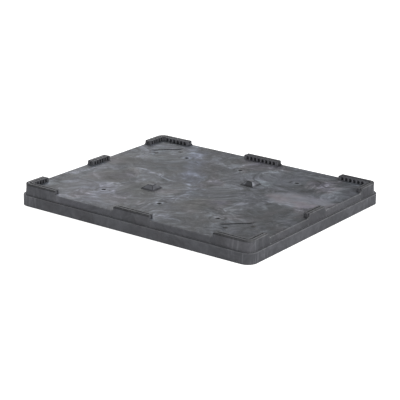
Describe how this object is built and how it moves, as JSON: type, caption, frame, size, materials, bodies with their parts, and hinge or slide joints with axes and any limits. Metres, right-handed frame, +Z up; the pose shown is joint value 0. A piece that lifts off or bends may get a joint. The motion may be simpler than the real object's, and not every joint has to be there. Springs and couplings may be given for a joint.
{
  "type": "plastic pallet lid",
  "caption": "Stepped pallet lid with rounded corners in marbled recycled plastic, with ribbed edge stops and centring pads on its deck and a hollow skirted underside.",
  "frame": {"origin": "centre of the bounding box in plan, on the plane the skirt rests on", "axes": "+X along the long side, +Y along the short side, +Z up"},
  "size_m": [1.2, 1, 0.095],
  "materials": {
    "deck_plastic": "marbled recycled polyolefin, satin, scuffed",
    "skirt_plastic": "marbled recycled polyolefin, satin",
    "stop_plastic": "marbled recycled polyolefin, satin",
    "bar_plastic": "recycled polyolefin, matt, saw-cut ends",
    "screw_steel": "zinc plated"
  },
  "bodies": {
    "root": {"skirt_frame": "skirt_plastic", "deck_panel": "deck_plastic", "side_stop_front": "stop_plastic", "side_stop_rear": "stop_plastic", "side_stop_right": "stop_plastic", "side_stop_left": "stop_plastic", "corner_stop_front_right": "stop_plastic", "corner_stop_front_left": "stop_plastic", "corner_stop_rear_right": "stop_plastic", "corner_stop_rear_left": "stop_plastic", "centring_pad_front": "stop_plastic", "centring_pad_rear": "stop_plastic", "long_bar_front_outer": "bar_plastic", "long_bar_front_inner": "bar_plastic", "long_bar_rear_inner": "bar_plastic", "long_bar_rear_outer": "bar_plastic", "cross_bar_left_outer": "bar_plastic", "cross_bar_left_inner": "bar_plastic", "cross_bar_right_inner": "bar_plastic", "cross_bar_right_outer": "bar_plastic", "skirt_screws": "screw_steel", "stop_screws": "screw_steel", "bar_screws": "screw_steel", "pad_screws": "screw_steel"}
  },
  "joints": []
}
